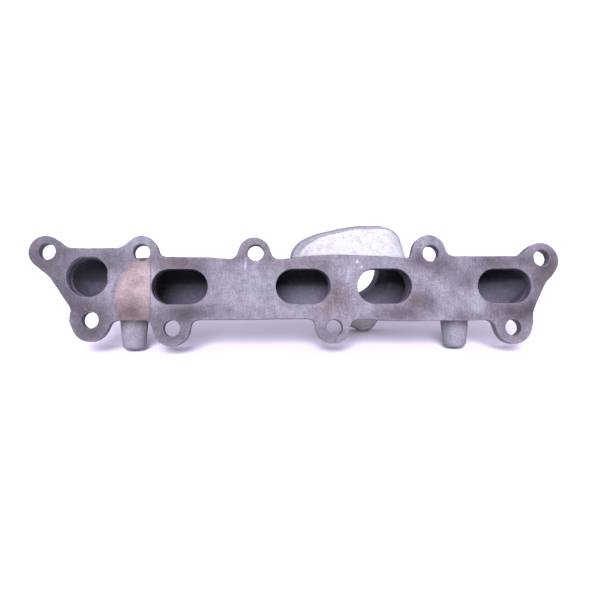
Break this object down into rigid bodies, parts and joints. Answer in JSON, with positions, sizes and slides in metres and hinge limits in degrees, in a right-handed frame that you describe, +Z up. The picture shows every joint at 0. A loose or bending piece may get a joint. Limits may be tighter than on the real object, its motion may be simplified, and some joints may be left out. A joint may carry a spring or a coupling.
{
  "type": "exhaust manifold",
  "caption": "Cast-iron log exhaust manifold: a long flat head flange with eared stud holes and oval ports, a round gas log and a triangular outlet flange.",
  "frame": {"origin": "on the machined head face, midway between the two middle exhaust ports and level with their centres", "axes": "+X along the manifold, away from the recirculation port; +Y away from the cylinder head; +Z up, with the part at rest on its two support bosses and the lowest ear of its outlet flange, so that the head face leans back 15 degrees"},
  "size_m": [0.439, 0.1087, 0.1005],
  "materials": {
    "machined_iron": "ground, with heat stains",
    "casting_skin": "rough as-cast skin",
    "pale_casting": "pale as-cast skin, pitted"
  },
  "bodies": {
    "root": {"head_flange": "machined_iron", "recirculation_runner": "casting_skin", "runner_1": "casting_skin", "runner_2": "casting_skin", "runner_3": "casting_skin", "runner_4": "casting_skin", "recirculation_link": "casting_skin", "log_left": "casting_skin", "log_centre": "casting_skin", "log_right": "casting_skin", "outlet_neck": "pale_casting", "outlet_flange": "machined_iron", "support_boss_left": "casting_skin", "support_boss_right": "casting_skin"}
  },
  "joints": []
}
